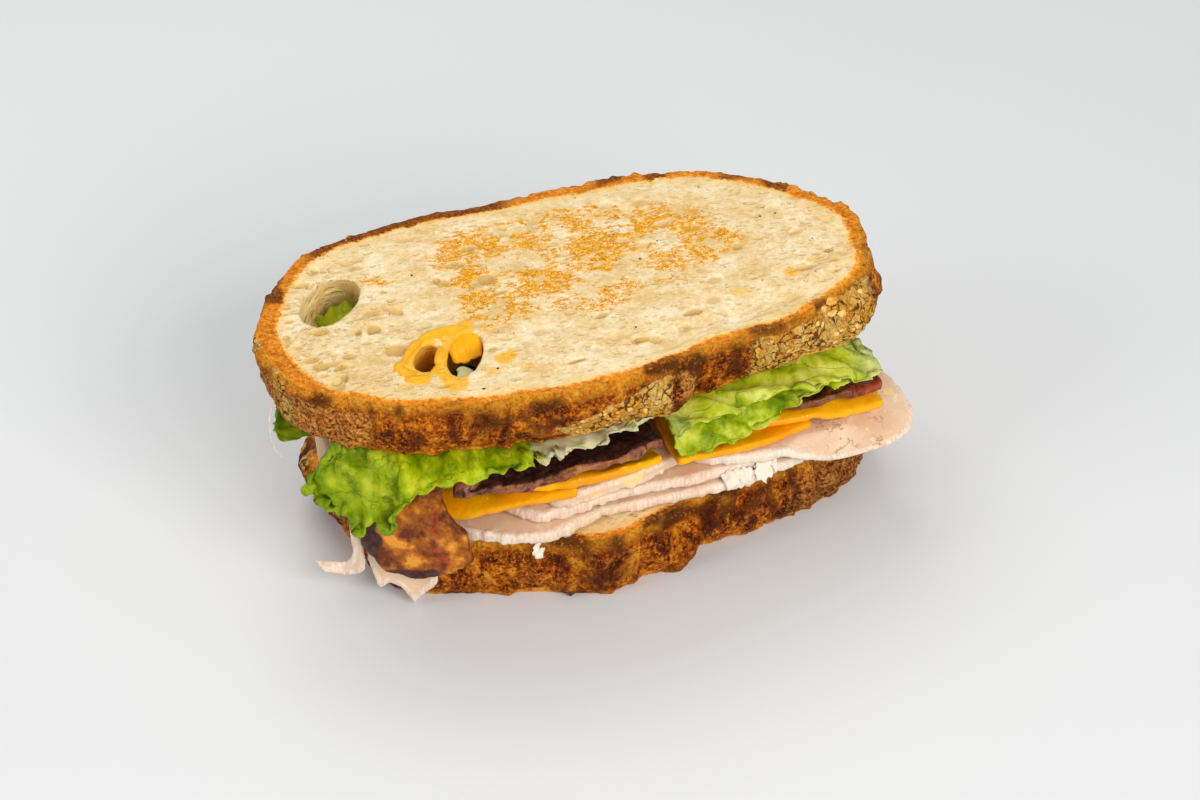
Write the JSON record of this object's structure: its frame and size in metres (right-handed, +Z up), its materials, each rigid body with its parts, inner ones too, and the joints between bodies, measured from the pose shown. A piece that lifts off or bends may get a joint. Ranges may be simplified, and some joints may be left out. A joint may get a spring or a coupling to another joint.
{
  "type": "turkey bacon sandwich",
  "caption": "Sandwich of two toasted sourdough slices with layers of turkey, cheese, bacon and lettuce that show at the sides, and open bubbles in the top slice.",
  "frame": {"origin": "centre of the bounding box at the underside of the lower slice", "axes": "+X along the slices, towards the end where the turkey reaches out; +Y towards the back; +Z up"},
  "size_m": [0.1688, 0.0962, 0.0671],
  "materials": {
    "crust": "rough baked crust",
    "crumb": "open toasted crumb",
    "turkey": "moist sliced meat",
    "cheddar": "smooth waxy cheese",
    "bacon": "greasy fried rasher",
    "lettuce": "fresh leaf"
  },
  "bodies": {
    "root": {"bread_lower": "crust", "bread_upper": "crumb", "turkey_lower": "turkey", "turkey_middle": "turkey", "turkey_fold": "turkey", "turkey_upper_left": "turkey", "turkey_upper_right": "turkey", "turkey_flap": "turkey", "turkey_shred": "turkey", "cheese_lower_left": "cheddar", "cheese_upper_left": "cheddar", "cheese_lower_right": "cheddar", "cheese_upper_right": "cheddar", "bacon_left": "bacon", "bacon_front": "bacon", "bacon_right": "bacon", "bacon_back_left": "bacon", "bacon_back_right": "bacon", "lettuce_back_left": "lettuce", "lettuce_back": "lettuce", "lettuce_right_lower": "lettuce", "lettuce_right_upper": "lettuce", "lettuce_left": "lettuce"}
  },
  "joints": []
}
